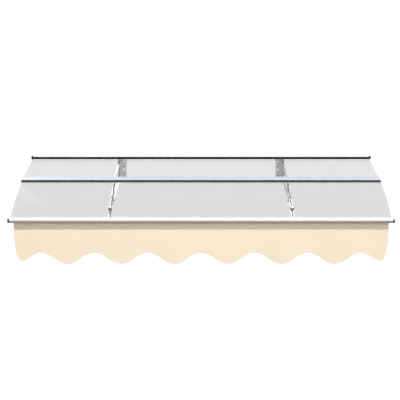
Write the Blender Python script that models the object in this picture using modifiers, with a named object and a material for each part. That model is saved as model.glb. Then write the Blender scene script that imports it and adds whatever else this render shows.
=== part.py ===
"""Wall-mounted door canopy: two clear panes on stainless brackets, with a scalloped fabric valance.

Metres, +Z up. The wall is the plane y = 0 and the canopy reaches out along -Y. The origin is the
middle of the back face of the seal that runs along the wall. In the side view used for outlines, a
point is (reach, height): the distance out from the wall and the height above the origin.
"""
import math

import bmesh
import bpy
from mathutils import Matrix, Vector

# Clearance between pieces that touch, and round a screw in its hole
FIT = 0.0003
# How far a cutter runs past what it cuts
CUT_MARGIN = 0.020
# The two brackets and the end pieces: name, and direction along X
SIDES = (("left", -1), ("right", 1))

# Panes
PANE_WIDTH = 2.000
PANE_THICKNESS = 0.005
PANE_END_GAP = 0.0005
UPPER_SLOPE = math.radians(7.67)
LOWER_START_SLOPE = math.radians(9.56)
LOWER_RADIUS = 2.262
LOWER_LENGTH = 0.519

# Rail and seal along the wall
RAIL_TOP = 0.0031
RAIL_HEIGHT = 0.0133
RAIL_REACH = 0.016
RAIL_WALL = 0.0015
RAIL_CORNER = 0.002
SEAL_HEIGHT = 0.0062
RAIL_CAP_LENGTH = 0.009
RAIL_CAP_END = 0.004
RAIL_CAP_RISE = 0.006
RAIL_CAP_WALL = 0.002
RAIL_CAP_CORNER = 0.004

# Joint between the two panes
JOINT_REACH = 0.5365
JOINT_BAR_DEPTH = 0.010
JOINT_BAR_RISE = 0.001
JOINT_BAR_CORNER = 0.002
JOINT_WEB = 0.003
JOINT_FLANGE = 0.002
JOINT_TOP_WIDTH = 0.067
JOINT_UNDER_WIDTH = 0.030
JOINT_SHELF_WIDTH = 0.014
JOINT_STEP = 0.0088

# Front tube, its seal and its end caps
TUBE_RADIUS = 0.01175
TUBE_WALL = 0.0018
TUBE_OVERHANG = 0.0018
PANE_ABOVE_TUBE_AXIS = 0.0061
PANE_SHORT_OF_TUBE_AXIS = 0.003
GLAZING_LIP = 0.0012
GLAZING_TOP_WIDTH = 0.018
GLAZING_UNDER_WIDTH = 0.010
CAP_HEAD = 0.0098
CAP_EDGE = 0.0006
CAP_DOME = 0.002
CAP_PLUG_LENGTH = 0.012

# Valance and the welt that carries it
WELT_RADIUS = 0.003
WELT_CHANNEL_WALL = 0.0014
WELT_MOUTH = 0.003
VALANCE_THICKNESS = 0.0016
VALANCE_SIDE_GAP = 0.020
SCALLOP_COUNT = 7
VALANCE_ARCH_DROP = 0.1573
SCALLOP_DEPTH = 0.059
END_LOBE_DEPTH = 0.0425
END_LOBE_WIDTH = 0.100
END_CORNER_HEIGHT = 0.180
END_CORNER_FULLNESS = 0.87

# Wall plates
BRACKET_OFFSET = 0.4835
PLATE_THICKNESS = 0.004
PLATE_WIDTH = 0.050
PLATE_BOTTOM = -0.138
PLATE_CORNER = 0.004
PLATE_EDGE_LAND = 0.001
CHEEK_GAP = 0.010
CHEEK_THICKNESS = 0.0025
CHEEK_REACH = 0.034
CHEEK_CORNER = 0.006
SCREW_HOLE_RADIUS = 0.00475
SCREW_HOLE_INSET = 0.0278
SCREW_HOLE_PITCH = 0.0489
SCREW_HOLE_TOP = -0.0262
REST_PAD_THICKNESS = 0.004

# Arm and strut
ARM_RADIUS = 0.007
ARM_DEPTH = 0.028
ARM_END_DEPTH = 0.0182
ARM_END_GAP = 0.0145
ARM_BEND_EASE = 0.020
STRUT_RADIUS = 0.006
PIVOT_REACH = 0.024
STRUT_PIVOT_HEIGHT = -0.1235
EYE_COLLAR_RADIUS = 0.009
EYE_COLLAR_LENGTH = 0.030
EYE_CHAMFER = 0.0015
EYE_SOCKET_DEPTH = 0.022
TONGUE_LAP = 0.012

# Bolts
BOLT_RADIUS = 0.003
BOLT_HEAD_RADIUS = 0.0058
BOLT_HEAD_LENGTH = 0.004
BOLT_NUT_LENGTH = 0.005

# Knee clamp, which joins the strut to the arm
KNEE_DISTANCE = 0.190
KNEE_WIDTH = 0.016
KNEE_RING_RADIUS = 0.0105
KNEE_DROP = 0.0175
KNEE_LUG_RADIUS = 0.007
KNEE_GAP = 0.006
KNEE_CHEEK = 0.003

# Point fixing through the lower pane
FIXING_FROM_FRONT = 0.130
FIXING_DISC_RADIUS = 0.0107
FIXING_DISC_THICKNESS = 0.004
FIXING_DISC_EDGE = 0.0012
FIXING_WASHER_THICKNESS = 0.0012
FIXING_WASHER_INSET = 0.0008
FIXING_CONE_RIM = 0.002
FIXING_CONE_FOOT = 0.0045
FIXING_FOOT_HEIGHT = 0.001
FIXING_HOLE_RADIUS = 0.005
FIXING_SCREW_RADIUS = 0.003
FIXING_SCREW_GRIP = 0.010
FIXING_HEAD_RADIUS = 0.006
FIXING_HEAD_DEPTH = 0.0028
FIXING_SOCKET_RADIUS = 0.00225
FIXING_SOCKET_DEPTH = 0.0018

# Post beside the joint and connector at the front tube
POST_DISTANCE = 0.026
POST_RADIUS = 0.006
POST_WAIST = 0.0042
POST_FLARE = 0.002
POST_PAD_THICKNESS = 0.0015
SADDLE_WALL = 0.0015
SADDLE_EDGE = 0.0005
SADDLE_LAP = 0.010
SADDLE_NOSE = 0.0185
SADDLE_SCREW_RADIUS = 0.0018
SADDLE_SCREW_HEAD_RADIUS = 0.0034
SADDLE_SCREW_HEAD_LENGTH = 0.003

# Values that follow from the sizes above
UPPER_START = RAIL_TOP - RAIL_HEIGHT - FIT
RAIL_BACK = PLATE_THICKNESS + FIT
WEB_FRONT = JOINT_REACH - JOINT_BAR_DEPTH - FIT
WEB_BACK = WEB_FRONT - JOINT_WEB
LOWER_REAR = WEB_FRONT + PANE_END_GAP + PANE_THICKNESS * math.sin(LOWER_START_SLOPE)
CHEEK_OUTER = CHEEK_GAP / 2 + CHEEK_THICKNESS
VALANCE_WIDTH = PANE_WIDTH - 2 * VALANCE_SIDE_GAP
SCALLOP_PITCH = VALANCE_WIDTH / SCALLOP_COUNT
FIXING_DISTANCE = LOWER_LENGTH - FIXING_FROM_FRONT


# Scene set-up
def empty_scene():
    for leftover in list(bpy.data.objects):
        bpy.data.objects.remove(leftover, do_unlink=True)


def new_collection(name):
    collection = bpy.data.collections.new(name)
    bpy.context.scene.collection.children.link(collection)
    return collection


empty_scene()
CANOPY = new_collection("door_canopy")
CUTTERS = new_collection("cutters")

# Colour, roughness and metallic value of each finish
FINISHES = {
    "clear": ((0.80, 0.82, 0.84), 0.05, 0.0),
    "black": ((0.03, 0.03, 0.03), 0.45, 0.0),
    "rubber": ((0.02, 0.02, 0.02), 0.80, 0.0),
    "satin": ((0.70, 0.75, 0.84), 0.32, 1.0),
    "polished": ((0.82, 0.82, 0.84), 0.14, 1.0),
    "brushed": ((0.60, 0.60, 0.62), 0.36, 1.0),
    "white_seal": ((0.86, 0.85, 0.87), 0.30, 0.0),
    "dark_cap": ((0.10, 0.10, 0.11), 0.35, 0.0),
    "cream_cloth": ((0.93, 0.82, 0.64), 0.85, 0.0),
}


def paint(obj, finish):
    """Give an object its own material."""
    colour, roughness, metallic = FINISHES[finish]
    material = bpy.data.materials.new(obj.name)
    material.use_nodes = True
    shader = material.node_tree.nodes["Principled BSDF"]
    shader.inputs["Base Color"].default_value = (*colour, 1.0)
    shader.inputs["Roughness"].default_value = roughness
    shader.inputs["Metallic"].default_value = metallic
    if finish == "clear":
        shader.inputs["Transmission Weight"].default_value = 0.9
    obj.data.materials.append(material)


def as_cutter(obj):
    """Move an object to the cutters, which only shape other objects."""
    for collection in list(obj.users_collection):
        collection.objects.unlink(obj)
    CUTTERS.objects.link(obj)
    obj.hide_render = True
    obj.display_type = "WIRE"
    return obj


def combine(obj, other, operation):
    """Cut `other` from an object, or join it on."""
    modifier = obj.modifiers.new(other.name, "BOOLEAN")
    modifier.operation = operation
    modifier.solver = "EXACT"
    modifier.object = as_cutter(other)


def cut(obj, *others):
    for other in others:
        combine(obj, other, "DIFFERENCE")


def unite(obj, *others):
    for other in others:
        combine(obj, other, "UNION")


def smooth(mesh):
    mesh.shade_smooth()
    mesh.set_sharp_from_angle(angle=math.radians(35.0))


def from_curve(name, curve, placement):
    """Turn a curve into a welded mesh object at its place."""
    guide = bpy.data.objects.new(name, curve)
    CANOPY.objects.link(guide)
    bpy.context.view_layer.update()
    evaluated = guide.evaluated_get(bpy.context.evaluated_depsgraph_get())
    mesh = bpy.data.meshes.new_from_object(evaluated)
    bpy.data.objects.remove(guide, do_unlink=True)
    welded = bmesh.new()
    welded.from_mesh(mesh)
    bmesh.ops.remove_doubles(welded, verts=welded.verts, dist=0.00001)
    bmesh.ops.recalc_face_normals(welded, faces=welded.faces)
    welded.to_mesh(mesh)
    welded.free()
    smooth(mesh)
    obj = bpy.data.objects.new(name, mesh)
    obj.matrix_world = placement
    CANOPY.objects.link(obj)
    return obj


# Frames of reference
def place(axis_x, axis_y, origin):
    """Matrix with two given axes and the third square to both."""
    x = Vector(axis_x)
    y = Vector(axis_y)
    frame = Matrix((x, y, x.cross(y))).transposed().to_4x4()
    frame.translation = origin
    return frame


def world(x, point):
    """World position of a side-view point at a distance x from the middle."""
    return Vector((x, -point[0], point[1]))


def heading(angle):
    """World directions along and square to a line that falls outwards at this angle."""
    along = Vector((0.0, -math.cos(angle), -math.sin(angle)))
    above = Vector((0.0, -math.sin(angle), math.cos(angle)))
    return along, above


def side_frame(x, point, angle=0.0):
    """Outlines are drawn here as (along, above), and their thickness lies across, along X."""
    along, above = heading(angle)
    return place(along, above, world(x, point))


def post_frame(x, point, angle):
    """Local Z is square to the roof line."""
    along, above = heading(angle)
    return place((1.0, 0.0, 0.0), above.cross(Vector((1.0, 0.0, 0.0))), world(x, point))


def rod_frame(x, point, angle):
    """Local Z runs outwards along the line."""
    along, above = heading(angle)
    return place(above, along.cross(above), world(x, point))


def across_frame(x, point):
    """Local Z runs along +X."""
    return place((0.0, 1.0, 0.0), (0.0, 0.0, 1.0), world(x, point))


# Basic forms
def plate(name, outlines, thickness, placement):
    """Flat outline, with any holes as further outlines, thickened to both sides."""
    curve = bpy.data.curves.new(name, "CURVE")
    curve.dimensions = "2D"
    curve.fill_mode = "BOTH"
    curve.extrude = thickness / 2
    for outline in outlines:
        spline = curve.splines.new("POLY")
        spline.points.add(len(outline) - 1)
        spline.use_cyclic_u = True
        for point, (u, v) in zip(spline.points, outline):
            point.co = (u, v, 0.0, 1.0)
    return from_curve(name, curve, placement)


def extrusion(name, outlines, length, x=0.0):
    """Side-view outline carried across the canopy."""
    return plate(name, outlines, length, side_frame(x, (0.0, 0.0)))


def tube(name, points, radius):
    """Round bar along a list of points."""
    curve = bpy.data.curves.new(name, "CURVE")
    curve.dimensions = "3D"
    curve.bevel_depth = radius
    curve.bevel_resolution = 4
    curve.use_fill_caps = True
    spline = curve.splines.new("POLY")
    spline.points.add(len(points) - 1)
    for point, place_of_point in zip(spline.points, points):
        point.co = (*place_of_point, 1.0)
    return from_curve(name, curve, Matrix.Identity(4))


def turned(name, profile, placement, steps=24):
    """Profile of (radius, height) points from top to bottom, turned about local Z."""
    mesh = bpy.data.meshes.new(name)
    edges = [(i, i + 1) for i in range(len(profile) - 1)]
    mesh.from_pydata([(r, 0.0, z) for r, z in profile], edges, [])
    obj = bpy.data.objects.new(name, mesh)
    obj.matrix_world = placement
    CANOPY.objects.link(obj)
    screw = obj.modifiers.new("turn", "SCREW")
    screw.steps = steps
    screw.render_steps = steps
    screw.use_merge_vertices = True
    screw.merge_threshold = 0.00001
    screw.use_smooth_shade = steps > 6
    return obj


def washer(name, outer, inner, bottom, top, placement, steps=24):
    """Flat ring between two heights."""
    profile = [(inner, top), (outer, top), (outer, bottom), (inner, bottom), (inner, top)]
    return turned(name, profile, placement, steps)


def pin(name, radius, bottom, top, placement, steps=24):
    """Plain cylinder between two heights."""
    return turned(name, [(0.0, top), (radius, top), (radius, bottom), (0.0, bottom)], placement, steps)


# Outline helpers
def arc(centre, radius, start, end, steps):
    """Points on an arc, from one angle to another in degrees."""
    angles = [math.radians(start + (end - start) * i / steps) for i in range(steps + 1)]
    return [(centre[0] + radius * math.cos(a), centre[1] + radius * math.sin(a)) for a in angles]


def circle(centre, radius, steps=24):
    return arc(centre, radius, 0.0, 360.0, steps)[:-1]


def rounded_box(left, right, bottom, top, radii, steps=4):
    """Box outline with its own corner radius at right top, left top, left bottom, right bottom."""
    corners = [(right, top, -1, -1), (left, top, 1, -1), (left, bottom, 1, 1), (right, bottom, -1, 1)]
    outline = []
    for turn, ((u, v, su, sv), radius) in enumerate(zip(corners, radii)):
        if radius:
            outline += arc((u + su * radius, v + sv * radius), radius, 90 * turn, 90 * turn + 90, steps)
        else:
            outline.append((u, v))
    return outline


# Lines of the roof
def upper(reach, height):
    """Point over the upper pane's top face, at a height measured square to it."""
    fall = (reach - RAIL_REACH) * math.tan(UPPER_SLOPE)
    return (reach, UPPER_START - fall + height / math.cos(UPPER_SLOPE))


LOWER_START = (LOWER_REAR, upper(LOWER_REAR, 0.0)[1] - JOINT_STEP)


def lower_angle(distance):
    """Slope of the curved lower pane at a distance along it."""
    return LOWER_START_SLOPE + distance / LOWER_RADIUS


def lower(distance, height):
    """Point over the lower pane's top face."""
    angle = lower_angle(distance)
    reach = LOWER_START[0] + LOWER_RADIUS * (math.sin(angle) - math.sin(LOWER_START_SLOPE))
    top = LOWER_START[1] - LOWER_RADIUS * (math.cos(LOWER_START_SLOPE) - math.cos(angle))
    return (reach + height * math.sin(angle), top + height * math.cos(angle))


def lower_run(start, end, height, steps):
    """Points along the lower pane at one height."""
    return [lower(start + (end - start) * i / steps, height) for i in range(steps + 1)]


PANE_END_ANGLE = lower_angle(LOWER_LENGTH)
TUBE_AXIS = lower(LOWER_LENGTH + PANE_SHORT_OF_TUBE_AXIS, -PANE_ABOVE_TUBE_AXIS)
TUBE_BOTTOM = TUBE_AXIS[1] - TUBE_RADIUS
WELT_AXIS = (TUBE_AXIS[0], TUBE_BOTTOM + TUBE_WALL + FIT + WELT_RADIUS)


# Panes
def make_upper_pane():
    rear = RAIL_BACK + PANE_END_GAP
    front = WEB_BACK - PANE_END_GAP
    outline = [upper(rear, 0.0), upper(rear, -PANE_THICKNESS)]
    outline += [upper(front, -PANE_THICKNESS), upper(front, 0.0)]
    paint(extrusion("upper_pane", [outline], PANE_WIDTH), "clear")


def make_lower_pane():
    top = lower_run(0.0, LOWER_LENGTH, 0.0, 20)
    bottom = lower_run(0.0, LOWER_LENGTH, -PANE_THICKNESS, 20)
    pane = extrusion("lower_pane", [top + bottom[::-1]], PANE_WIDTH)
    for name, side in SIDES:
        hole = pin("fixing_hole_" + name, FIXING_HOLE_RADIUS, -2 * PANE_THICKNESS, PANE_THICKNESS,
                   fixing_frame(side))
        cut(pane, hole)
    paint(pane, "clear")


# Rail and seal along the wall
def rail_outline(front, top, corner):
    """Outline over the upper pane, from the wall side out to a rounded front corner."""
    outline = [upper(RAIL_BACK, FIT), upper(front, FIT)]
    outline += arc((front - corner, top - corner), corner, 0.0, 90.0, 4)
    outline.append((RAIL_BACK, top))
    return outline


def make_wall_rail():
    """Hollow rail that covers the upper pane's rear edge."""
    back = RAIL_BACK + RAIL_WALL
    front = RAIL_REACH - RAIL_WALL
    top = RAIL_TOP - RAIL_WALL
    hollow = [upper(back, FIT + RAIL_WALL), upper(front, FIT + RAIL_WALL), (front, top), (back, top)]
    shell = rail_outline(RAIL_REACH, RAIL_TOP, RAIL_CORNER)
    paint(extrusion("wall_profile", [shell, hollow], PANE_WIDTH), "black")


def make_wall_seal():
    half = SEAL_HEIGHT / 2
    outline = [(0.0, -half), (PLATE_THICKNESS, -half), (PLATE_THICKNESS, half), (0.0, half)]
    paint(extrusion("wall_seal", [outline], PANE_WIDTH), "rubber")


def make_rail_cap(name, side):
    """Cup over the end of the rail, taller than the rail and proud of the panes' edge."""
    outer_end = PANE_WIDTH / 2 + RAIL_CAP_END
    middle = side * (outer_end - RAIL_CAP_LENGTH / 2)
    outline = rail_outline(RAIL_REACH + RAIL_CAP_WALL, RAIL_TOP + RAIL_CAP_RISE, RAIL_CAP_CORNER)
    cap = extrusion("wall_cap_" + name, [outline], RAIL_CAP_LENGTH, middle)
    recess_end = PANE_WIDTH / 2 + FIT
    recess_length = RAIL_CAP_LENGTH + CUT_MARGIN
    recess_middle = side * (recess_end - recess_length / 2)
    cut(cap, extrusion("rail_recess_" + name, [recess_outline()], recess_length, recess_middle))
    paint(cap, "black")


def recess_outline():
    """The rail's outline with clearance, reaching below it and behind it."""
    front = RAIL_REACH + FIT
    top = RAIL_TOP + FIT
    bottom = UPPER_START - CUT_MARGIN
    return [(0.0, bottom), (front, bottom), (front, top), (0.0, top)]


# Joint between the panes
def make_joint_profile():
    under = -PANE_THICKNESS - FIT
    rear_top = WEB_BACK - JOINT_TOP_WIDTH
    rear_under = WEB_BACK - JOINT_UNDER_WIDTH
    shelf_start = lower(0.0, under)
    shelf_top = shelf_start[1] + (shelf_start[0] - WEB_FRONT) * math.tan(LOWER_START_SLOPE)
    outline = [upper(rear_top, FIT), upper(WEB_BACK, FIT), upper(WEB_BACK, under)]
    outline += [upper(rear_under, under), upper(rear_under, under - JOINT_FLANGE)]
    outline += [upper(WEB_BACK, under - JOINT_FLANGE), (WEB_BACK, shelf_top - JOINT_FLANGE)]
    outline += lower_run(0.0, JOINT_SHELF_WIDTH, under - JOINT_FLANGE, 3)
    outline += lower_run(JOINT_SHELF_WIDTH, 0.0, under, 3)
    outline += [(WEB_FRONT, shelf_top), upper(WEB_FRONT, FIT + JOINT_FLANGE)]
    outline += [upper(rear_top, FIT + JOINT_FLANGE)]
    paint(extrusion("joint_profile", [outline], PANE_WIDTH), "satin")


def make_joint_seal():
    """Bar that closes the step between the panes and bears on the lower one."""
    back = WEB_FRONT + FIT
    top = upper(JOINT_REACH, FIT + JOINT_FLANGE + JOINT_BAR_RISE)[1]
    centre = (JOINT_REACH - JOINT_BAR_CORNER, top - JOINT_BAR_CORNER)
    outline = [(back, lower(0.0, FIT)[1]), lower(JOINT_REACH - LOWER_REAR, FIT)]
    outline += arc(centre, JOINT_BAR_CORNER, 0.0, 90.0, 4) + [(back, top)]
    paint(extrusion("joint_seal", [outline], PANE_WIDTH), "black")


# Front tube
def across(name, axis, radius, length, steps=40):
    """Round bar along X, about a side-view point."""
    frame = across_frame(0.0, axis)
    return pin(name, radius, -length / 2, length / 2, frame, steps)


def tube_length():
    return PANE_WIDTH + 2 * TUBE_OVERHANG


def slot_angle(radius, height):
    """Where a line along the pane's end, at a height over the tube's axis, meets the tube's rear."""
    return 180.0 - math.degrees(PANE_END_ANGLE + math.asin(height / radius))


def front_tube_outline():
    """Section about the axis: a slot behind for the pane's edge, a keyhole channel below for the welt."""
    outer = TUBE_RADIUS
    inner = TUBE_RADIUS - TUBE_WALL
    lip = GLAZING_LIP + 2 * FIT
    slot_top = PANE_ABOVE_TUBE_AXIS + lip
    slot_bottom = PANE_ABOVE_TUBE_AXIS - PANE_THICKNESS - lip
    welt_bore = WELT_RADIUS + FIT
    channel = welt_bore + WELT_CHANNEL_WALL
    drop = TUBE_AXIS[1] - WELT_AXIS[1]
    centre = (0.0, -drop)
    mouth_outer = math.degrees(math.asin(WELT_MOUTH / 2 / outer))
    mouth_inner = math.degrees(math.asin(WELT_MOUTH / 2 / welt_bore))
    from_axis = math.degrees(math.acos((inner ** 2 + drop ** 2 - channel ** 2) / (2 * inner * drop)))
    from_welt = math.degrees(math.acos((channel ** 2 + drop ** 2 - inner ** 2) / (2 * channel * drop)))
    axis = (0.0, 0.0)
    outline = arc(axis, outer, slot_angle(outer, slot_bottom), 270.0 - mouth_outer, 9)
    outline += arc(centre, welt_bore, 270.0 - mouth_inner, mouth_inner - 90.0, 14)
    outline += arc(axis, outer, 270.0 + mouth_outer, 360.0 + slot_angle(outer, slot_top), 20)
    outline += arc(axis, inner, slot_angle(inner, slot_top), from_axis - 90.0, 14)
    outline += arc(centre, channel, 90.0 - from_welt, 90.0 + from_welt, 8)
    outline += arc(axis, inner, -90.0 - from_axis, slot_angle(inner, slot_bottom) - 360.0, 6)
    return outline


def make_front_tube():
    """Round tube that takes the pane's edge and the valance's welt."""
    frame = side_frame(0.0, TUBE_AXIS)
    paint(plate("front_tube", [front_tube_outline()], tube_length(), frame), "polished")


def make_front_seal():
    """Seal folded round the pane's front edge, with a wide lip on top of the pane."""
    lip = FIT + GLAZING_LIP
    under = -PANE_THICKNESS
    rear_top = LOWER_LENGTH - GLAZING_TOP_WIDTH
    rear_under = LOWER_LENGTH - GLAZING_UNDER_WIDTH
    end = LOWER_LENGTH + FIT
    nose = LOWER_LENGTH + lip
    outline = lower_run(rear_top, nose, lip, 3) + lower_run(nose, rear_under, under - lip, 2)
    outline += lower_run(rear_under, end, under - FIT, 2) + lower_run(end, rear_top, FIT, 3)
    paint(extrusion("front_pane_seal", [outline], PANE_WIDTH), "white_seal")


def make_front_cap(name, side):
    """Domed cap whose plug fills the lower part of the tube's end, clear of the pane and channel."""
    face = tube_length() / 2 + FIT
    plug = TUBE_RADIUS - TUBE_WALL - FIT
    profile = [(0.0, CAP_HEAD), (TUBE_RADIUS - CAP_DOME, CAP_HEAD)]
    profile += [(TUBE_RADIUS - CAP_EDGE, CAP_HEAD - CAP_EDGE), (TUBE_RADIUS, CAP_HEAD - CAP_DOME)]
    profile += [(TUBE_RADIUS, 0.0), (plug, 0.0), (plug, -CAP_PLUG_LENGTH), (0.0, -CAP_PLUG_LENGTH)]
    frame = place((0.0, side * 1.0, 0.0), (0.0, 0.0, 1.0), world(side * face, TUBE_AXIS))
    cap = turned("front_cap_" + name, profile, frame, 40)
    relief_length = CAP_PLUG_LENGTH + CUT_MARGIN
    middle = side * (face - FIT - relief_length / 2)
    cut(cap, extrusion("cap_pane_slot_" + name, [plug_relief()], relief_length, middle))
    channel_radius = WELT_RADIUS + WELT_CHANNEL_WALL + 2 * FIT
    reach_below = WELT_AXIS[1] - TUBE_RADIUS
    relief = rounded_box(WELT_AXIS[0] - channel_radius, WELT_AXIS[0] + channel_radius, reach_below,
                         WELT_AXIS[1] + channel_radius, (channel_radius, channel_radius, 0, 0), 6)
    cut(cap, extrusion("cap_channel_" + name, [relief], relief_length, middle))
    paint(cap, "dark_cap")


def plug_relief():
    """Everything above the lower face of the pane's seal."""
    floor = -PANE_THICKNESS - GLAZING_LIP - 2 * FIT
    rear = LOWER_LENGTH - 2 * TUBE_RADIUS
    front = LOWER_LENGTH + 2 * TUBE_RADIUS
    return [lower(rear, floor), lower(front, floor), lower(front, 2 * TUBE_RADIUS),
            lower(rear, 2 * TUBE_RADIUS)]


# Valance
def scallop_height(x):
    """Height of the lower edge between the two outermost arches."""
    wave = (1.0 - math.cos(2 * math.pi * x / SCALLOP_PITCH)) / 2
    return TUBE_BOTTOM - VALANCE_ARCH_DROP - SCALLOP_DEPTH * wave


def end_lobe():
    """Half of the lower edge's end lobe, from the last arch out and up to the side edge."""
    last_arch = SCALLOP_PITCH * (SCALLOP_COUNT // 2)
    edge = VALANCE_WIDTH / 2
    corner_width = edge - last_arch - END_LOBE_WIDTH
    arch = TUBE_BOTTOM - VALANCE_ARCH_DROP
    points = []
    for i in range(1, 7):
        share = i / 6
        fall = END_LOBE_DEPTH * (1.0 - math.cos(math.pi * share)) / 2
        points.append((last_arch + END_LOBE_WIDTH * share, arch - fall))
    centre = (last_arch + END_LOBE_WIDTH, arch - END_LOBE_DEPTH + END_CORNER_HEIGHT)
    for i in range(1, 11):
        angle = math.pi / 2 * i / 10
        outward = math.sin(angle) ** END_CORNER_FULLNESS
        fallen = math.cos(angle) ** END_CORNER_FULLNESS
        points.append((centre[0] + corner_width * outward, centre[1] - END_CORNER_HEIGHT * fallen))
    return points


def valance_outline():
    """Front-view outline as (x, height), symmetric about the middle."""
    last_arch = SCALLOP_PITCH * (SCALLOP_COUNT // 2)
    steps = 16 * (SCALLOP_COUNT // 2)
    half = [(last_arch * i / steps, scallop_height(last_arch * i / steps)) for i in range(steps + 1)]
    half += end_lobe()
    top = WELT_AXIS[1] - WELT_RADIUS - FIT
    half.append((VALANCE_WIDTH / 2, top))
    mirrored = [(-x, z) for x, z in half[1:]]
    return half + mirrored[::-1]


def make_valance():
    frame = place((1.0, 0.0, 0.0), (0.0, 0.0, 1.0), world(0.0, (WELT_AXIS[0], 0.0)))
    paint(plate("valance", [valance_outline()], VALANCE_THICKNESS, frame), "cream_cloth")
    paint(across("valance_welt", WELT_AXIS, WELT_RADIUS, VALANCE_WIDTH, 12), "cream_cloth")


# Where the bracket's pieces lie
CHEEK_TOP = -PANE_THICKNESS - REST_PAD_THICKNESS - 2 * FIT
ARM_PIVOT = upper(PIVOT_REACH, -ARM_DEPTH)
STRUT_PIVOT = (PIVOT_REACH, STRUT_PIVOT_HEIGHT)
KNEE_ANGLE = lower_angle(KNEE_DISTANCE)
KNEE_PIVOT = lower(KNEE_DISTANCE, -ARM_DEPTH - KNEE_DROP)
STRUT_ANGLE = math.atan2(STRUT_PIVOT[1] - KNEE_PIVOT[1], KNEE_PIVOT[0] - STRUT_PIVOT[0])
STRUT_SPAN = math.dist(STRUT_PIVOT, KNEE_PIVOT)


def fixing_frame(side):
    """Frame on the lower pane's top face at a point fixing."""
    return post_frame(side * BRACKET_OFFSET, lower(FIXING_DISTANCE, 0.0), lower_angle(FIXING_DISTANCE))


def arm_end_distance():
    """Distance along the lower pane at which the arm stops, behind the tube."""
    return LOWER_LENGTH + PANE_SHORT_OF_TUBE_AXIS - TUBE_RADIUS - ARM_END_GAP


def arm_route():
    """Centre line: under the panes at a constant depth, then up to the height of the tube."""
    start = CHEEK_REACH + 2 * FIT
    rear = [upper(start, -ARM_DEPTH), upper(WEB_BACK - ARM_BEND_EASE, -ARM_DEPTH)]
    blend_start = FIXING_DISTANCE + 2 * FIXING_DISC_RADIUS
    parallel = lower_run(ARM_BEND_EASE, blend_start, -ARM_DEPTH, 8)
    end = arm_end_distance()
    rise = []
    for i in range(1, 7):
        share = i / 6
        depth = ARM_DEPTH - (ARM_DEPTH - ARM_END_DEPTH) * share * share * (3 - 2 * share)
        rise.append(lower(blend_start + (end - blend_start) * share, -depth))
    return rear + parallel + rise


def tongue(name, x, pivot, angle, thickness, half_height, length, bore):
    """Flat tongue with a round end and a hole, reaching outwards from its pivot."""
    outline = arc((0.0, 0.0), half_height, 90.0, 270.0, 10)
    outline += [(length, -half_height), (length, half_height)]
    return plate(name, [outline, circle((0.0, 0.0), bore, 16)], thickness, side_frame(x, pivot, angle))


def hex_bolt(name, x, side, pivot, radius, head_radius, half_width):
    """Bolt across the bracket, with its head on the outer side."""
    frame = across_frame(x, pivot)
    seat = side * (half_width + FIT)
    head_end = seat + side * BOLT_HEAD_LENGTH
    shank_end = -side * (half_width + FIT + BOLT_NUT_LENGTH + radius)
    low, high = sorted((seat, head_end))
    head = pin(name, head_radius, low, high, frame, 6)
    low, high = sorted((seat + side * BOLT_HEAD_LENGTH / 2, shank_end))
    unite(head, pin(name + "_shank", radius, low, high, frame, 16))
    paint(head, "polished")


def hex_nut(name, x, side, pivot, radius, head_radius, half_width):
    """Nut on the inner side of the bracket."""
    frame = across_frame(x, pivot)
    low, high = sorted((-side * (half_width + FIT), -side * (half_width + FIT + BOLT_NUT_LENGTH)))
    nut = pin(name, head_radius, low, high, frame, 6)
    cut(nut, pin(name + "_bore", radius + FIT, low - CUT_MARGIN, high + CUT_MARGIN, frame, 16))
    paint(nut, "polished")


# Wall plate
def make_wall_plate(name, side):
    """Plate with a column of screw holes, and two cheeks that take the arm and the strut."""
    x = side * BRACKET_OFFSET
    outer = side * (BRACKET_OFFSET + CHEEK_OUTER + PLATE_EDGE_LAND)
    inner = outer - side * PLATE_WIDTH
    top = -SEAL_HEIGHT / 2 - FIT
    left, right = sorted((inner, outer))
    outlines = [rounded_box(left, right, PLATE_BOTTOM, top, (PLATE_CORNER,) * 4)]
    for row in range(3):
        centre = (side * (BRACKET_OFFSET - SCREW_HOLE_INSET), SCREW_HOLE_TOP - row * SCREW_HOLE_PITCH)
        outlines.append(circle(centre, SCREW_HOLE_RADIUS, 20))
    frame = place((1.0, 0.0, 0.0), (0.0, 0.0, 1.0), world(0.0, (PLATE_THICKNESS / 2, 0.0)))
    obj = plate("wall_plate_" + name, outlines, PLATE_THICKNESS, frame)
    for label, offset in (("inner", -1), ("outer", 1)):
        middle = x + offset * (CHEEK_GAP + CHEEK_THICKNESS) / 2
        cheek = extrusion(f"cheek_{label}_{name}", cheek_outlines(), CHEEK_THICKNESS, middle)
        unite(obj, cheek)
    paint(obj, "brushed")


def cheek_outlines():
    """Side view of a cheek, with the holes for its two bolts."""
    root = PLATE_THICKNESS / 2
    corner = arc((CHEEK_REACH - CHEEK_CORNER, PLATE_BOTTOM + CHEEK_CORNER), CHEEK_CORNER, 270.0, 360.0, 5)
    outline = [(root, PLATE_BOTTOM)] + corner + [upper(CHEEK_REACH, CHEEK_TOP), upper(root, CHEEK_TOP)]
    bore = BOLT_RADIUS + FIT
    return [outline, circle(ARM_PIVOT, bore, 16), circle(STRUT_PIVOT, bore, 16)]


def make_rest_pad(name, side):
    """Rubber pad between the cheeks' top edges and the upper pane."""
    rear = RAIL_BACK + PANE_END_GAP
    top = -PANE_THICKNESS - FIT
    bottom = top - REST_PAD_THICKNESS
    outline = [upper(rear, top), upper(rear, bottom), upper(CHEEK_REACH, bottom), upper(CHEEK_REACH, top)]
    pad = extrusion("rest_pad_" + name, [outline], 2 * CHEEK_OUTER, side * BRACKET_OFFSET)
    paint(pad, "rubber")


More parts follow.
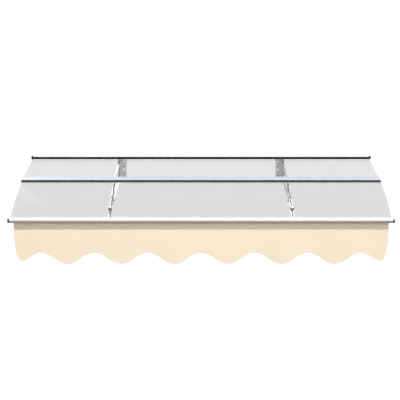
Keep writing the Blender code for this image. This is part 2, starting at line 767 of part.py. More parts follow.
# Arm and strut
def make_arm(name, side):
    """Bent round bar with a flat tongue between the cheeks."""
    x = side * BRACKET_OFFSET
    arm = tube("arm_" + name, [world(x, point) for point in arm_route()], ARM_RADIUS)
    length = CHEEK_REACH - PIVOT_REACH + TONGUE_LAP
    unite(arm, tongue("arm_tongue_" + name, x, ARM_PIVOT, UPPER_SLOPE, CHEEK_GAP - 2 * FIT,
                      ARM_RADIUS - FIT, length, BOLT_RADIUS + FIT))
    paint(arm, "polished")
    hex_bolt("arm_bolt_" + name, x, side, ARM_PIVOT, BOLT_RADIUS, BOLT_HEAD_RADIUS, CHEEK_OUTER)
    hex_nut("arm_nut_" + name, x, side, ARM_PIVOT, BOLT_RADIUS, BOLT_HEAD_RADIUS, CHEEK_OUTER)


def strut_point(distance):
    """Point on the strut's centre line, from the wall plate's pivot outwards."""
    return (STRUT_PIVOT[0] + distance * math.cos(STRUT_ANGLE),
            STRUT_PIVOT[1] - distance * math.sin(STRUT_ANGLE))


def collar_start():
    """Where the eye's collar begins, just clear of the cheeks."""
    to_cheek_edge = (CHEEK_REACH - PIVOT_REACH) / math.cos(STRUT_ANGLE)
    return to_cheek_edge + EYE_COLLAR_RADIUS * math.tan(STRUT_ANGLE) + FIT


def make_strut_eye(name, side):
    """Turned socket for the strut, with a flat tongue between the cheeks."""
    x = side * BRACKET_OFFSET
    start = collar_start()
    end = start + EYE_COLLAR_LENGTH
    bore = STRUT_RADIUS + FIT
    profile = [(0.0, end - EYE_SOCKET_DEPTH), (bore, end - EYE_SOCKET_DEPTH), (bore, end)]
    profile += [(EYE_COLLAR_RADIUS - EYE_CHAMFER, end), (EYE_COLLAR_RADIUS, end - EYE_CHAMFER)]
    profile += [(EYE_COLLAR_RADIUS, start), (0.0, start)]
    eye = turned("strut_eye_" + name, profile, rod_frame(x, STRUT_PIVOT, STRUT_ANGLE))
    length = start + (EYE_COLLAR_LENGTH - EYE_SOCKET_DEPTH) / 2
    unite(eye, tongue("eye_tongue_" + name, x, STRUT_PIVOT, STRUT_ANGLE, CHEEK_GAP - 2 * FIT,
                      ARM_RADIUS, length, BOLT_RADIUS + FIT))
    paint(eye, "polished")
    hex_bolt("strut_bolt_" + name, x, side, STRUT_PIVOT, BOLT_RADIUS, BOLT_HEAD_RADIUS, CHEEK_OUTER)
    hex_nut("strut_nut_" + name, x, side, STRUT_PIVOT, BOLT_RADIUS, BOLT_HEAD_RADIUS, CHEEK_OUTER)


def make_strut(name, side):
    """Straight round bar from the eye's socket to the knee, with a flat tongue at the knee."""
    x = side * BRACKET_OFFSET
    start = collar_start() + EYE_COLLAR_LENGTH - EYE_SOCKET_DEPTH + FIT
    stop = STRUT_SPAN - KNEE_LUG_RADIUS - STRUT_RADIUS / 2
    ends = [world(x, strut_point(start)), world(x, strut_point(stop))]
    strut = tube("strut_" + name, ends, STRUT_RADIUS)
    lap = STRUT_SPAN - stop + TONGUE_LAP
    front = tongue("strut_tongue_" + name, x, KNEE_PIVOT, STRUT_ANGLE + math.pi, KNEE_GAP - 2 * FIT,
                   STRUT_RADIUS - FIT, lap, BOLT_RADIUS + FIT)
    unite(strut, front)
    paint(strut, "polished")


def make_knee(name, side):
    """Clamp ring on the arm with a forked lug below, and the bolt through the strut's end."""
    x = side * BRACKET_OFFSET
    centre = lower(KNEE_DISTANCE, -ARM_DEPTH)
    frame = rod_frame(x, centre, KNEE_ANGLE)
    half = KNEE_WIDTH / 2
    clamp = pin("knee_clamp_" + name, KNEE_RING_RADIUS, -half, half, frame, 28)
    lug = arc((0.0, -KNEE_DROP), KNEE_LUG_RADIUS, 180.0, 360.0, 10)
    lug += [(KNEE_LUG_RADIUS, 0.0), (-KNEE_LUG_RADIUS, 0.0)]
    hole = circle((0.0, -KNEE_DROP), BOLT_RADIUS + FIT, 16)
    half_width = KNEE_GAP / 2 + KNEE_CHEEK
    unite(clamp, plate("knee_lug_" + name, [lug, hole], 2 * half_width, side_frame(x, centre, KNEE_ANGLE)))
    slot_top = -KNEE_RING_RADIUS
    slot_bottom = -KNEE_DROP - 2 * KNEE_LUG_RADIUS
    slot = [(-2 * half, slot_bottom), (2 * half, slot_bottom), (2 * half, slot_top), (-2 * half, slot_top)]
    cut(clamp, plate("knee_slot_" + name, [slot], KNEE_GAP, side_frame(x, centre, KNEE_ANGLE)))
    cut(clamp, pin("knee_bore_" + name, ARM_RADIUS + FIT, -3 * half, 3 * half, frame, 24))
    paint(clamp, "polished")
    hex_bolt("knee_bolt_" + name, x, side, KNEE_PIVOT, BOLT_RADIUS, BOLT_HEAD_RADIUS, half_width)
    hex_nut("knee_nut_" + name, x, side, KNEE_PIVOT, BOLT_RADIUS, BOLT_HEAD_RADIUS, half_width)


# Point fixing, which clamps the lower pane over the arm
def make_fixing(name, side):
    frame = fixing_frame(side)
    gasket = FIXING_DISC_RADIUS - FIXING_WASHER_INSET
    over = FIT + FIXING_WASHER_THICKNESS
    under = -PANE_THICKNESS - over
    bore = FIXING_SCREW_RADIUS + FIT
    upper_washer = washer("upper_washer_" + name, gasket, FIXING_HOLE_RADIUS, FIT, over, frame)
    lower_washer = washer("lower_washer_" + name, gasket, FIXING_HOLE_RADIUS, under,
                          -PANE_THICKNESS - FIT, frame)
    paint(upper_washer, "rubber")
    paint(lower_washer, "rubber")
    make_clamp_disc(name, frame, over + FIT, bore)
    make_fixing_screw(name, frame, over + FIT, under - FIT - FIXING_SCREW_GRIP)
    make_cone(name, side, frame, under - FIT, bore)


def make_clamp_disc(name, frame, seat, bore):
    """Round disc with a countersunk hole and a softened upper edge."""
    top = seat + FIXING_DISC_THICKNESS
    sink = FIXING_HEAD_RADIUS + FIT
    profile = [(bore, top - FIXING_HEAD_DEPTH), (sink, top), (FIXING_DISC_RADIUS - FIXING_DISC_EDGE, top)]
    profile += [(FIXING_DISC_RADIUS, top - FIXING_DISC_EDGE), (FIXING_DISC_RADIUS, seat), (bore, seat)]
    profile.append(profile[0])
    paint(turned("clamp_disc_" + name, profile, frame, 28), "polished")


def make_fixing_screw(name, frame, seat, tip):
    """Countersunk screw through the disc and the pane into the cone."""
    top = seat + FIXING_DISC_THICKNESS
    neck = top - FIXING_HEAD_DEPTH
    profile = [(0.0, top), (FIXING_HEAD_RADIUS, top), (FIXING_SCREW_RADIUS, neck)]
    profile += [(FIXING_SCREW_RADIUS, tip), (0.0, tip)]
    screw = turned("fixing_screw_" + name, profile, frame, 20)
    socket = pin("screw_socket_" + name, FIXING_SOCKET_RADIUS, top - FIXING_SOCKET_DEPTH,
                 top + CUT_MARGIN, frame, 6)
    cut(screw, socket)
    paint(screw, "brushed")


def make_cone(name, side, frame, top, bore):
    """Cone that narrows down to a foot seated on the arm, with a blind bore for the screw."""
    foot = -ARM_DEPTH
    blind = top - FIXING_SCREW_GRIP - 2 * FIT
    waist = -ARM_DEPTH + ARM_RADIUS + FIXING_FOOT_HEIGHT
    profile = [(0.0, blind), (bore, blind), (bore, top), (FIXING_DISC_RADIUS, top)]
    profile += [(FIXING_DISC_RADIUS, top - FIXING_CONE_RIM), (FIXING_CONE_FOOT, waist)]
    profile.append((FIXING_CONE_FOOT, foot))
    profile.append((0.0, foot))
    cone = turned("cone_standoff_" + name, profile, frame, 28)
    cut(cone, arm_gauge("cone_seat_" + name, side, FIXING_DISTANCE))
    paint(cone, "polished")


def arm_gauge(name, side, distance):
    """The arm's round surface with clearance, for seats that are shaped to it."""
    frame = rod_frame(side * BRACKET_OFFSET, lower(distance, -ARM_DEPTH), lower_angle(distance))
    reach = FIXING_DISC_RADIUS + POST_RADIUS + CUT_MARGIN
    return pin(name, ARM_RADIUS + FIT, -reach, reach, frame, 32)


# Post beside the joint
def make_joint_post(name, side):
    """Waisted post on the arm with a rubber pad, which carries the lower pane beside the joint."""
    x = side * BRACKET_OFFSET
    frame = post_frame(x, lower(POST_DISTANCE, 0.0), lower_angle(POST_DISTANCE))
    pad_top = -PANE_THICKNESS - FIT
    pad_bottom = pad_top - POST_PAD_THICKNESS
    paint(pin("joint_pad_" + name, POST_RADIUS, pad_bottom, pad_top, frame, 20), "rubber")
    top = pad_bottom - FIT
    low = -ARM_DEPTH + ARM_RADIUS
    profile = [(0.0, top), (POST_RADIUS, top), (POST_RADIUS, top - POST_FLARE)]
    profile += [(POST_WAIST, top - 2 * POST_FLARE), (POST_WAIST, low + 2 * POST_FLARE)]
    profile += [(POST_RADIUS, low + POST_FLARE), (POST_RADIUS, -ARM_DEPTH), (0.0, -ARM_DEPTH)]
    post = turned("joint_post_" + name, profile, frame, 20)
    cut(post, arm_gauge("post_seat_" + name, side, POST_DISTANCE))
    paint(post, "polished")


# Connector between the arm and the front tube
def make_front_saddle(name, side):
    """Socket over the arm's end, with a mouth shaped to the back of the tube, and its set screw."""
    x = side * BRACKET_OFFSET
    route = arm_route()
    end = route[-1]
    angle = math.atan2(route[-2][1] - end[1], end[0] - route[-2][0])
    frame = rod_frame(x, end, angle)
    bore = ARM_RADIUS + FIT
    outer = bore + SADDLE_WALL
    profile = [(0.0, SADDLE_NOSE), (outer, SADDLE_NOSE), (outer, -SADDLE_LAP + SADDLE_EDGE)]
    profile += [(outer - SADDLE_EDGE, -SADDLE_LAP), (bore, -SADDLE_LAP), (bore, FIT), (0.0, FIT)]
    saddle = turned("front_saddle_" + name, profile, frame, 28)
    cut(saddle, across("tube_gauge_" + name, TUBE_AXIS, TUBE_RADIUS + FIT, 3 * BRACKET_OFFSET, 40))
    screw_frame = screw_below(x, end, angle, -SADDLE_LAP / 2)
    cut(saddle, pin("saddle_hole_" + name, SADDLE_SCREW_RADIUS + FIT, -outer - CUT_MARGIN,
                    -ARM_RADIUS / 2, screw_frame, 12))
    paint(saddle, "polished")
    head_top = -outer - FIT
    profile = [(0.0, -ARM_RADIUS - FIT), (SADDLE_SCREW_RADIUS, -ARM_RADIUS - FIT)]
    profile += [(SADDLE_SCREW_RADIUS, head_top), (SADDLE_SCREW_HEAD_RADIUS, head_top)]
    profile += [(SADDLE_SCREW_HEAD_RADIUS, head_top - SADDLE_SCREW_HEAD_LENGTH)]
    profile.append((0.0, head_top - SADDLE_SCREW_HEAD_LENGTH))
    paint(turned("saddle_screw_" + name, profile, screw_frame, 12), "brushed")


def screw_below(x, end, angle, distance):
    """Frame square to the arm at a distance from its end."""
    along = (math.cos(angle) * distance, -math.sin(angle) * distance)
    return post_frame(x, (end[0] + along[0], end[1] + along[1]), angle)


# The whole canopy
def make_canopy():
    make_upper_pane()
    make_lower_pane()
    make_wall_rail()
    make_wall_seal()
    make_joint_profile()
    make_joint_seal()
    make_front_tube()
    make_front_seal()
    make_valance()
    for name, side in SIDES:
        make_rail_cap(name, side)
        make_front_cap(name, side)
        make_wall_plate(name, side)
        make_rest_pad(name, side)
        make_arm(name, side)
        make_strut_eye(name, side)
        make_strut(name, side)
        make_knee(name, side)
        make_fixing(name, side)
        make_joint_post(name, side)
        make_front_saddle(name, side)


make_canopy()
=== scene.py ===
import math

import bmesh
import bpy
from mathutils import Matrix, Vector


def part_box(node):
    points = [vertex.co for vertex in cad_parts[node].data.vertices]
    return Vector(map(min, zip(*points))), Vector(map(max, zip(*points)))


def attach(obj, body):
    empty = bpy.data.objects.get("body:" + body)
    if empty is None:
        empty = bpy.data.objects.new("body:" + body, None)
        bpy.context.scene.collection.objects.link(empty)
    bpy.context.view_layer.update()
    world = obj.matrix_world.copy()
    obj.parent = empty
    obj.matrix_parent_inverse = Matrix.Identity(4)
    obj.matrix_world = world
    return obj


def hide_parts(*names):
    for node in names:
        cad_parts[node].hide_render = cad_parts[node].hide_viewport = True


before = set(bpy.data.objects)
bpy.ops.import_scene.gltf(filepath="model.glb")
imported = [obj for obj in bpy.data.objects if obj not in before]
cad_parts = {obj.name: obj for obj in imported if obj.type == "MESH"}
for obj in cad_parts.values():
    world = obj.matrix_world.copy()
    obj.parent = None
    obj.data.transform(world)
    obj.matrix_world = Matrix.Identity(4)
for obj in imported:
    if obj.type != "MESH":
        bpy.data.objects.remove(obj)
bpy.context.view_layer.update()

# Camera
# It stands 8.3 m in front of the wall and 0.76 m above the rail, and looks down by 7 degrees, so that
# the panes show from just above. The picture is square.
PICTURE_SIDE = 400
FOCAL_LENGTH_IN_PIXELS = 1396.0
CAMERA_PLACE = (-0.006, -8.2515, 0.7553)
CAMERA_LOOKS_DOWN = math.radians(6.983)

camera_data = bpy.data.cameras.new("camera")
camera_data.sensor_width = 36.0
camera_data.lens = camera_data.sensor_width * FOCAL_LENGTH_IN_PIXELS / PICTURE_SIDE
camera = bpy.data.objects.new("camera", camera_data)
camera.location = CAMERA_PLACE
camera.rotation_euler = (math.pi / 2 - CAMERA_LOOKS_DOWN, 0.0, 0.0)
bpy.context.scene.collection.objects.link(camera)
bpy.context.scene.camera = camera
bpy.context.scene.view_settings.view_transform = "Standard"

# Lamps
# A small hard lamp high in front throws the tube's shadow on the valance, and a wide soft one fills the
# front. Four behind draw the bright lines along the arms and struts, three of them for the left bracket.
# The camera and the panes don't show the lamps themselves.
SUN_TOWARDS = (0.30, -0.235, 0.93)
SUN_STRENGTH = 5.6
SUN_WIDTH = math.radians(0.8)
AREA_LAMPS = [
    ("front_lamp", (0.3, -2.7, 2.2), (0.0, -1.0, -0.3), (3.4, 1.5), 36.0),
    ("rear_left_lamp", (-0.88, 1.2, -0.05), (-0.485, -0.7, -0.1), (0.56, 0.64), 9.0),
    ("tall_left_lamp", (-1.88, 2.6, 1.35), (-0.485, -0.7, -0.1), (0.80, 3.20), 22.0),
    ("rear_right_lamp", (1.30, 1.3, -0.05), (0.485, -0.7, -0.1), (0.30, 0.64), 3.0),
    ("rear_inner_lamp", (-0.36, 1.2, -0.14), (-0.485, -0.8, -0.15), (0.26, 0.50), 3.2),
]


def hang_lamp(name, lamp, place, target):
    """Hangs a lamp so that it shines from its place to the target, with its second size upright."""
    holder = bpy.data.objects.new(name, lamp)
    holder.location = place
    holder.rotation_euler = (Vector(place) - Vector(target)).to_track_quat("Z", "Y").to_euler()
    holder.visible_camera = False
    holder.visible_transmission = False
    bpy.context.scene.collection.objects.link(holder)


sun = bpy.data.lights.new("high_lamp", "SUN")
sun.energy = SUN_STRENGTH
sun.angle = SUN_WIDTH
hang_lamp("high_lamp", sun, SUN_TOWARDS, (0.0, 0.0, 0.0))
for name, place, target, size, power in AREA_LAMPS:
    lamp = bpy.data.lights.new(name, "AREA")
    lamp.shape = "RECTANGLE"
    lamp.size, lamp.size_y = size
    lamp.energy = power
    hang_lamp(name, lamp, place, target)

# Surroundings
# White all round for what the camera and the panes show, white above a grey horizon for the metal, and a
# plain grey for the light that falls on the canopy. The floor is as far below as it is under a canopy
# over a door. In metal the floor shows bright in front of the canopy and a painted shade under and behind
# it.
SKY_LIGHT = 0.36
SKY_HORIZON = 0.60
SKY_TOP = 1.0
SKY_RISE = (-0.05, 0.35)
FLOOR_HEIGHT = -2.35
FLOOR_HALF_WIDTH = 40.0
FLOOR_COLOUR = 0.22
# How the floor looks in metal: warm and bright in front of the canopy and a painted shade under and behind
# it, across the span of depth given below.
FLOOR_IN_METAL_WITH_PAINTED_SHADE = (0.64, 0.08)
FLOOR_TINT_IN_METAL = (1.0, 0.96, 0.88, 1.0)
FLOOR_PAINTED_SHADE_SPAN = (-1.9, -1.2)
FLOOR_LIFT = 0.62


def add_node(tree, kind, inputs=(), **settings):
    """Adds a node with its settings. An input is a value, or another node's output to link."""
    made = tree.nodes.new(kind)
    for name, value in settings.items():
        setattr(made, name, value)
    for name, value in dict(inputs).items():
        if isinstance(value, bpy.types.NodeSocket):
            tree.links.new(value, made.inputs[name])
        else:
            made.inputs[name].default_value = value
    return made


def seen_directly(tree, path):
    """1 where the camera sees a surface itself or through a pane."""
    return add_node(tree, "ShaderNodeMath", {0: path.outputs["Is Camera Ray"],
                    1: path.outputs["Is Transmission Ray"]}, operation="MAXIMUM").outputs[0]


def make_sky():
    """One strength for what is seen directly, one for metal, and one for the light on the canopy."""
    world = bpy.data.worlds.new("sky")
    bpy.context.scene.world = world
    world.use_nodes = True
    tree = world.node_tree
    tree.nodes.clear()
    path = add_node(tree, "ShaderNodeLightPath")
    direction = add_node(tree, "ShaderNodeTexCoord")
    split = add_node(tree, "ShaderNodeSeparateXYZ", {0: direction.outputs["Generated"]})
    rise = add_node(tree, "ShaderNodeMapRange", {"Value": split.outputs["Z"], "From Min": SKY_RISE[0],
                    "From Max": SKY_RISE[1], "To Min": SKY_HORIZON, "To Max": SKY_TOP})
    in_metal = add_node(tree, "ShaderNodeBackground", {"Strength": rise.outputs[0]})
    white = add_node(tree, "ShaderNodeBackground", {"Strength": 1.0})
    lighting = add_node(tree, "ShaderNodeBackground", {"Strength": SKY_LIGHT})
    for background in (in_metal, white, lighting):
        background.inputs["Color"].default_value = (1.0, 1.0, 1.0, 1.0)
    lit = add_node(tree, "ShaderNodeMixShader", {0: path.outputs["Is Glossy Ray"],
                   1: lighting.outputs[0], 2: in_metal.outputs[0]})
    shown = add_node(tree, "ShaderNodeMixShader", {0: seen_directly(tree, path),
                     1: lit.outputs[0], 2: white.outputs[0]})
    add_node(tree, "ShaderNodeOutputWorld", {"Surface": shown.outputs[0]})


def grey(level):
    return (level, level, level, 1.0)


def make_floor():
    """Pale floor that looks white where it is lit, and keeps the canopy's shadow."""
    shape = bmesh.new()
    bmesh.ops.create_grid(shape, x_segments=1, y_segments=1, size=FLOOR_HALF_WIDTH,
                          matrix=Matrix.Translation((0.0, 0.0, FLOOR_HEIGHT)))
    mesh = bpy.data.meshes.new("floor")
    shape.to_mesh(mesh)
    shape.free()
    floor = bpy.data.objects.new("floor", mesh)
    bpy.context.scene.collection.objects.link(floor)
    material = bpy.data.materials.new("floor")
    material.use_nodes = True
    tree = material.node_tree
    tree.nodes.clear()
    path = add_node(tree, "ShaderNodeLightPath")
    pale = add_node(tree, "ShaderNodeBsdfDiffuse", {"Color": grey(FLOOR_COLOUR)})
    seen = seen_directly(tree, path)
    amount = add_node(tree, "ShaderNodeMath", {0: seen, 1: FLOOR_LIFT}, operation="MULTIPLY")
    lift = add_node(tree, "ShaderNodeEmission", {"Strength": amount.outputs[0]})
    lit = add_node(tree, "ShaderNodeAddShader", {0: pale.outputs[0], 1: lift.outputs[0]})
    # Painted shade: as metal shows it, the floor turns from bright in front of the canopy to dark under and
    # behind it.
    place = add_node(tree, "ShaderNodeTexCoord")
    split = add_node(tree, "ShaderNodeSeparateXYZ", {0: place.outputs["Object"]})
    painted_shade_in_metal = add_node(tree, "ShaderNodeMapRange", {"Value": split.outputs["Y"],
                     "From Min": FLOOR_PAINTED_SHADE_SPAN[0], "From Max": FLOOR_PAINTED_SHADE_SPAN[1],
                     "To Min": FLOOR_IN_METAL_WITH_PAINTED_SHADE[0], "To Max": FLOOR_IN_METAL_WITH_PAINTED_SHADE[1]})
    in_metal = add_node(tree, "ShaderNodeEmission", {"Color": FLOOR_TINT_IN_METAL,
                        "Strength": painted_shade_in_metal.outputs[0]})
    only_in_metal = add_node(tree, "ShaderNodeMath", {0: path.outputs["Is Glossy Ray"], 1: seen},
                             operation="SUBTRACT", use_clamp=True)
    shown = add_node(tree, "ShaderNodeMixShader", {0: only_in_metal.outputs[0],
                     1: lit.outputs[0], 2: in_metal.outputs[0]})
    add_node(tree, "ShaderNodeOutputMaterial", {"Surface": shown.outputs[0]})
    mesh.materials.append(material)


make_sky()
make_floor()

# Panes
# Two sheets of clear acrylic, 5 mm thick and 2 m wide. The upper one is flat, the lower one is bent
# cold over the arms and drilled for the two point fixings. Their sawn and polished edges give off a
# painted glow, an emission that lights them up though they are no lamp.
# The upper sheet's tint is lighter than the lower one's: painted reflection, standing in for the brighter
# sky that its flatter slope mirrors.
UPPER_TINT_WITH_PAINTED_REFLECTION = (0.723, 0.730, 0.745, 1.0)
LOWER_TINT = (0.673, 0.680, 0.694, 1.0)
PANE_EDGE_TINT = (0.86, 0.88, 0.90, 1.0)
PANE_EDGE_PAINTED_GLOW = 0.9
PANE_INDEX = 1.05
PANE_SHADOW = 0.86
PANE_HAZE = (0.0, 0.03)
PANE_WAVE_SIZE = 0.35
SAW_MARK_SIZE = 0.002
SMOOTH_BELOW = math.radians(32.0)
FLAT_BELOW = math.radians(0.3)
MERGE_DISTANCE = 0.00001


def principled(name):
    """A new material and its Principled shader, with nothing set."""
    material = bpy.data.materials.new(name)
    material.use_nodes = True
    return material, material.node_tree, material.node_tree.nodes["Principled BSDF"]


def bump(tree, shader, height, strength, distance):
    """Feeds a height that changes over the surface to the shader's normal."""
    made = add_node(tree, "ShaderNodeBump", {"Height": height, "Strength": strength, "Distance": distance})
    tree.links.new(made.outputs["Normal"], shader.inputs["Normal"])


def new_group(name, inputs, outputs):
    """An empty node group with float sockets. Inputs are (name, value), outputs are names."""
    group = bpy.data.node_groups.new(name, "ShaderNodeTree")
    for label, value in inputs:
        socket = group.interface.new_socket(name=label, in_out="INPUT", socket_type="NodeSocketFloat")
        socket.default_value = value
    for label in outputs:
        group.interface.new_socket(name=label, in_out="OUTPUT", socket_type="NodeSocketFloat")
    return group, group.nodes.new("NodeGroupInput"), group.nodes.new("NodeGroupOutput")


def make_unevenness_group():
    """Slow change over a surface, as from rolling, casting or wiping: 0 to 1 at a size in metres."""
    group, given, out = new_group("unevenness", [("Size", 0.1)], ["Amount"])
    place = add_node(group, "ShaderNodeTexCoord")
    per_metre = add_node(group, "ShaderNodeMath", {0: 1.0, 1: given.outputs["Size"]}, operation="DIVIDE")
    cloud = add_node(group, "ShaderNodeTexNoise", {"Vector": place.outputs["Object"],
                     "Scale": per_metre.outputs[0], "Detail": 2.0, "Roughness": 0.5})
    group.links.new(cloud.outputs["Fac"], out.inputs["Amount"])
    return group


def use_group(tree, group, **values):
    made = add_node(tree, "ShaderNodeGroup", node_tree=group)
    for name, value in values.items():
        made.inputs[name.replace("_", " ")].default_value = value
    return made


def ranged(tree, value, low, high):
    """Spreads a 0 to 1 value over a range."""
    return add_node(tree, "ShaderNodeMapRange", {"Value": value, "To Min": low, "To Max": high}).outputs[0]


unevenness = make_unevenness_group()


def let_lamps_through(tree, shader, colour):
    """Mixes in a clear surface for shadow rays, so that the sheet throws only a light shadow."""
    path = add_node(tree, "ShaderNodeLightPath")
    clear = add_node(tree, "ShaderNodeBsdfTransparent", {"Color": colour})
    both = add_node(tree, "ShaderNodeMixShader", {0: path.outputs["Is Shadow Ray"],
                    1: shader.outputs[0], 2: clear.outputs[0]})
    output = next(n for n in tree.nodes if n.type == "OUTPUT_MATERIAL")
    tree.links.new(both.outputs[0], output.inputs["Surface"])


def make_pane_material(name, tint):
    """Clear sheet. Its index is low because the photographed panes hardly mirror."""
    material, tree, shader = principled(name)
    shader.inputs["Base Color"].default_value = tint
    shader.inputs["Transmission Weight"].default_value = 1.0
    shader.inputs["IOR"].default_value = PANE_INDEX
    wave = use_group(tree, unevenness, Size=PANE_WAVE_SIZE)
    tree.links.new(ranged(tree, wave.outputs["Amount"], *PANE_HAZE), shader.inputs["Roughness"])
    bump(tree, shader, wave.outputs["Amount"], 0.02, 0.002)
    let_lamps_through(tree, shader, grey(PANE_SHADOW))
    return material


def make_pane_edge_painted_glow_material():
    material, tree, shader = principled("acrylic_edge_painted_glow")
    shader.inputs["Base Color"].default_value = PANE_EDGE_TINT
    shader.inputs["Transmission Weight"].default_value = 0.55
    shader.inputs["IOR"].default_value = 1.3
    # Painted glow: the edge faces give off light of their own, though they are no lamp.
    shader.inputs["Emission Color"].default_value = PANE_EDGE_TINT
    shader.inputs["Emission Strength"].default_value = PANE_EDGE_PAINTED_GLOW
    marks = use_group(tree, unevenness, Size=SAW_MARK_SIZE)
    tree.links.new(ranged(tree, marks.outputs["Amount"], 0.15, 0.45), shader.inputs["Roughness"])
    bump(tree, shader, marks.outputs["Amount"], 0.2, 0.0004)
    let_lamps_through(tree, shader, grey(PANE_SHADOW))
    return material


def finish_shape(shape, name, materials, nodes=()):
    """Turns a bmesh into a piece of the canopy, smooth but for its sharp edges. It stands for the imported
    solids named in nodes."""
    mesh = bpy.data.meshes.new(name)
    shape.to_mesh(mesh)
    shape.free()
    mesh.shade_smooth()
    mesh.set_sharp_from_angle(angle=SMOOTH_BELOW)
    piece = bpy.data.objects.new(name, mesh)
    bpy.context.scene.collection.objects.link(piece)
    for material in materials:
        mesh.materials.append(material)
    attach(piece, "root")
    if nodes:
        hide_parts(*nodes)
    return piece


def eased_copy(node, name, materials, easing=0.0003, cut=None, replaces=True):
    """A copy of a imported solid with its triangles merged, its flats joined and its edges eased. A cut is
    a point and the direction in which everything past it goes."""
    shape = bmesh.new()
    shape.from_mesh(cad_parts[node].data)
    bmesh.ops.remove_doubles(shape, verts=shape.verts, dist=MERGE_DISTANCE)
    bmesh.ops.dissolve_limit(shape, angle_limit=FLAT_BELOW, verts=shape.verts, edges=shape.edges)
    if cut is not None:
        everything = list(shape.verts) + list(shape.edges) + list(shape.faces)
        bmesh.ops.bisect_plane(shape, geom=everything, plane_co=cut[0], plane_no=cut[1], clear_outer=True)
        bmesh.ops.holes_fill(shape, edges=[edge for edge in shape.edges if edge.is_boundary])
    piece = finish_shape(shape, name, materials, [node] if replaces else [])
    if easing:
        bevel = piece.modifiers.new("eased_edges", "BEVEL")
        bevel.width = easing
        bevel.segments = 2
        bevel.limit_method = "ANGLE"
        bevel.angle_limit = SMOOTH_BELOW
        bevel.harden_normals = True
    return piece


acrylic_edge_painted_glow = make_pane_edge_painted_glow_material()
for pane_name, tint in (("upper", UPPER_TINT_WITH_PAINTED_REFLECTION), ("lower", LOWER_TINT)):
    clear_acrylic = make_pane_material(pane_name + "_acrylic", tint)
    pane = eased_copy(pane_name + "_pane", pane_name + "_sheet", [clear_acrylic, acrylic_edge_painted_glow])
    for face in pane.data.polygons:
        if abs(face.normal.z) < 0.5:
            face.material_index = 1

# Rail along the wall
# A slim aluminium extrusion in satin black that covers the upper pane's rear edge, with a rubber strip
# against the wall and a moulded cup over each end.


def make_drawn_lines_group():
    """Fine lines along the canopy, as an extrusion or a drawn tube has them."""
    group, given, out = new_group("drawn_lines", [("Lines per metre", 1200.0)], ["Height"])
    place = add_node(group, "ShaderNodeTexCoord")
    lines = add_node(group, "ShaderNodeCombineXYZ", {"X": 3.0, "Y": given.outputs["Lines per metre"],
                     "Z": given.outputs["Lines per metre"]})
    stretched = add_node(group, "ShaderNodeVectorMath", {0: place.outputs["Object"],
                         1: lines.outputs[0]}, operation="MULTIPLY")
    streaks = add_node(group, "ShaderNodeTexNoise", {"Vector": stretched.outputs[0],
                       "Scale": 1.0, "Detail": 3.0, "Roughness": 0.6})
    group.links.new(streaks.outputs["Fac"], out.inputs["Height"])
    return group


def make_moulded_grain_group():
    """Fine pebbled grain of a moulding or of rubber."""
    group, given, out = new_group("moulded_grain", [("Grain size", 0.0006)], ["Height", "Wipe"])
    place = add_node(group, "ShaderNodeTexCoord")
    per_metre = add_node(group, "ShaderNodeMath", {0: 1.0, 1: given.outputs["Grain size"]},
                         operation="DIVIDE")
    grain = add_node(group, "ShaderNodeTexVoronoi", {"Vector": place.outputs["Object"],
                     "Scale": per_metre.outputs[0]}, feature="SMOOTH_F1")
    cloud = add_node(group, "ShaderNodeTexNoise", {"Vector": place.outputs["Object"],
                     "Scale": 35.0, "Detail": 4.0})
    group.links.new(grain.outputs["Distance"], out.inputs["Height"])
    group.links.new(cloud.outputs["Fac"], out.inputs["Wipe"])
    return group


drawn_lines = make_drawn_lines_group()
moulded_grain = make_moulded_grain_group()


def two_tones(tree, factor, first, second):
    """A colour that changes over the surface between two tones."""
    mix = add_node(tree, "ShaderNodeMix", {"Factor": factor}, data_type="RGBA")
    mix.inputs["A"].default_value = (*first, 1.0)
    mix.inputs["B"].default_value = (*second, 1.0)
    return mix.outputs["Result"]


def make_black_coat():
    material, tree, shader = principled("black_coat")
    streaks = use_group(tree, drawn_lines, Lines_per_metre=1500.0)
    tone = two_tones(tree, streaks.outputs["Height"], (0.006, 0.006, 0.006), (0.011, 0.011, 0.011))
    tree.links.new(tone, shader.inputs["Base Color"])
    shader.inputs["Specular IOR Level"].default_value = 0.15
    tree.links.new(ranged(tree, streaks.outputs["Height"], 0.34, 0.52), shader.inputs["Roughness"])
    bump(tree, shader, streaks.outputs["Height"], 0.15, 0.0002)
    return material


def make_moulding(name, first, second, roughness, grain_size, gloss=0.5):
    material, tree, shader = principled(name)
    shader.inputs["Specular IOR Level"].default_value = gloss
    grain = use_group(tree, moulded_grain, Grain_size=grain_size)
    tree.links.new(two_tones(tree, grain.outputs["Wipe"], first, second), shader.inputs["Base Color"])
    tree.links.new(ranged(tree, grain.outputs["Wipe"], *roughness), shader.inputs["Roughness"])
    bump(tree, shader, grain.outputs["Height"], 0.25, 0.0002)
    return material


black_coat = make_black_coat()
black_moulding = make_moulding("black_moulding", (0.006, 0.006, 0.006), (0.012, 0.012, 0.012),
                               (0.42, 0.58), 0.0006, 0.15)
black_rubber = make_moulding("black_rubber", (0.014, 0.014, 0.014), (0.030, 0.029, 0.028),
                             (0.70, 0.92), 0.0004)
eased_copy("wall_profile", "rail", [black_coat])
eased_copy("wall_seal", "rail_wall_strip", [black_rubber])
for side in ("left", "right"):
    eased_copy("wall_cap_" + side, "rail_end_" + side, [black_moulding], 0.0006)

# Joint between the panes
# A satin aluminium extrusion holds the upper pane's front edge between two flanges and carries the
# lower pane on a shelf. A black bar closes the step between them, held under a small lip of the
# extrusion.
LIP_HEIGHT = 0.0011
SHELF_END = 0.013


